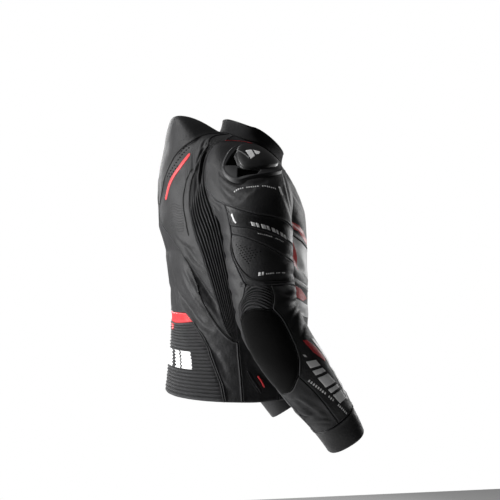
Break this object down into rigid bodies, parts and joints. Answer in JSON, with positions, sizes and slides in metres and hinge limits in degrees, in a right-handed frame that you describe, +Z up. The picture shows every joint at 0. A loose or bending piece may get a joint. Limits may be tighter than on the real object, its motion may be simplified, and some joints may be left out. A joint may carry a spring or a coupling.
{
  "type": "leather motorcycle jacket",
  "caption": "Fitted black leather riding jacket with a speed hump, pre-curved sleeves, ribbed stretch panels, shoulder cups and a front zip, held open as worn.",
  "frame": {"origin": "between the shoulders at the base of the neck, inside the neck seam, where the wearer holds the jacket up", "axes": "+Z up along the standing wearer, +X towards the wearer's left, the front faces -Y"},
  "size_m": [0.67, 0.3904, 0.7144],
  "materials": {
    "black_leather": "satin",
    "red_leather": "satin",
    "white_leather": "satin",
    "stretch_cloth": "matte",
    "elbow_pile": "matte pile",
    "collar_cloth": "matte",
    "cup_rubber": "matte",
    "cup_shell": "gloss",
    "zip_metal": "satin"
  },
  "bodies": {
    "jacket": {"arm_band_L": "black_leather", "arm_band_R": "black_leather", "arm_panel_L": "black_leather", "arm_panel_R": "black_leather", "arm_strip_L": "black_leather", "arm_strip_R": "black_leather", "back_L": "black_leather", "back_R": "black_leather", "back_band": "red_leather", "back_gusset_L": "stretch_cloth", "back_gusset_R": "stretch_cloth", "back_hump": "black_leather", "chest_L": "black_leather", "chest_R": "black_leather", "chest_insert_L": "white_leather", "chest_insert_R": "white_leather", "collar": "collar_cloth", "cuff_L": "black_leather", "cuff_R": "black_leather", "cup_base_L": "cup_rubber", "cup_base_R": "cup_rubber", "cup_shell_L": "cup_shell", "cup_shell_R": "cup_shell", "elbow_patch_L": "elbow_pile", "elbow_patch_R": "elbow_pile", "elbow_ribs_L": "stretch_cloth", "elbow_ribs_R": "stretch_cloth", "forearm_front_L": "black_leather", "forearm_front_R": "black_leather", "forearm_rear_L": "black_leather", "forearm_rear_R": "black_leather", "front_L": "black_leather", "front_R": "black_leather", "lower_back_L": "black_leather", "lower_back_R": "black_leather", "shoulder_L": "black_leather", "shoulder_R": "black_leather", "side_L": "black_leather", "side_R": "black_leather", "sleeve_inner_L": "stretch_cloth", "sleeve_inner_R": "stretch_cloth", "sleeve_rear_L": "black_leather", "sleeve_rear_R": "black_leather", "waist_ribs": "stretch_cloth", "yoke_L": "black_leather", "yoke_R": "black_leather", "zip_slider": "zip_metal", "zip_tape": "stretch_cloth"},
    "pull_tab": {"zip_pull": "zip_metal"}
  },
  "joints": [
    {"name": "pull_tab_hinge", "type": "hinge", "parent": "jacket", "child": "pull_tab", "pos_m": [0, -0.10742, -0.05668], "axis": [-1, 0, 0], "range_deg": [0, 120]}
  ]
}
